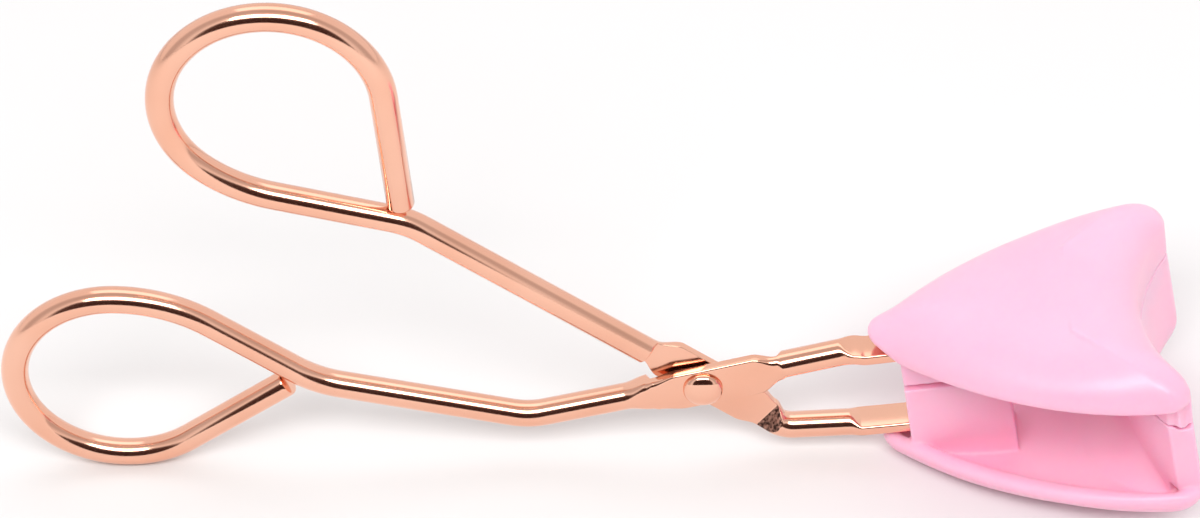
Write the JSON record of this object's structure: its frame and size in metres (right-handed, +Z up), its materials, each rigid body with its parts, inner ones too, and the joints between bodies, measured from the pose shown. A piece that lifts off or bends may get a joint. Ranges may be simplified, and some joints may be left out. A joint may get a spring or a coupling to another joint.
{
  "type": "eyelash curler",
  "caption": "Scissor-action eyelash curler: two bent wire handles with finger loops, crossed at a riveted half-lap pivot, carrying curved plastic jaws with a silicone pad.",
  "frame": {"origin": "bottom centre of the bounding box, on the surface that the tool stands on", "axes": "+X along the tool towards the jaws, +Y along the rivet axis towards the rivet's tail, +Z up from the lower finger loop to the upper one"},
  "size_m": [0.1222, 0.0294, 0.0607],
  "materials": {
    "rose_gold_wire": "mirror-polished rose-gold plating on steel wire",
    "rose_gold_rivet": "polished rose-gold plating on a steel rivet",
    "pink_plastic": "satin-gloss moulded plastic",
    "silicone": "soft matte silicone"
  },
  "bodies": {
    "lower_jaw_side": {"upper_handle_wire": "rose_gold_wire", "lower_jaw": "pink_plastic", "silicone_pad": "silicone", "pivot_rivet": "rose_gold_rivet"},
    "upper_jaw_side": {"lower_handle_wire": "rose_gold_wire", "upper_jaw": "pink_plastic"}
  },
  "joints": [
    {"name": "scissor_pivot", "type": "hinge", "parent": "lower_jaw_side", "child": "upper_jaw_side", "pos_m": [0.01088, 0, 0.0102], "axis": [0, -1, 0], "range_deg": [0, 22]}
  ]
}
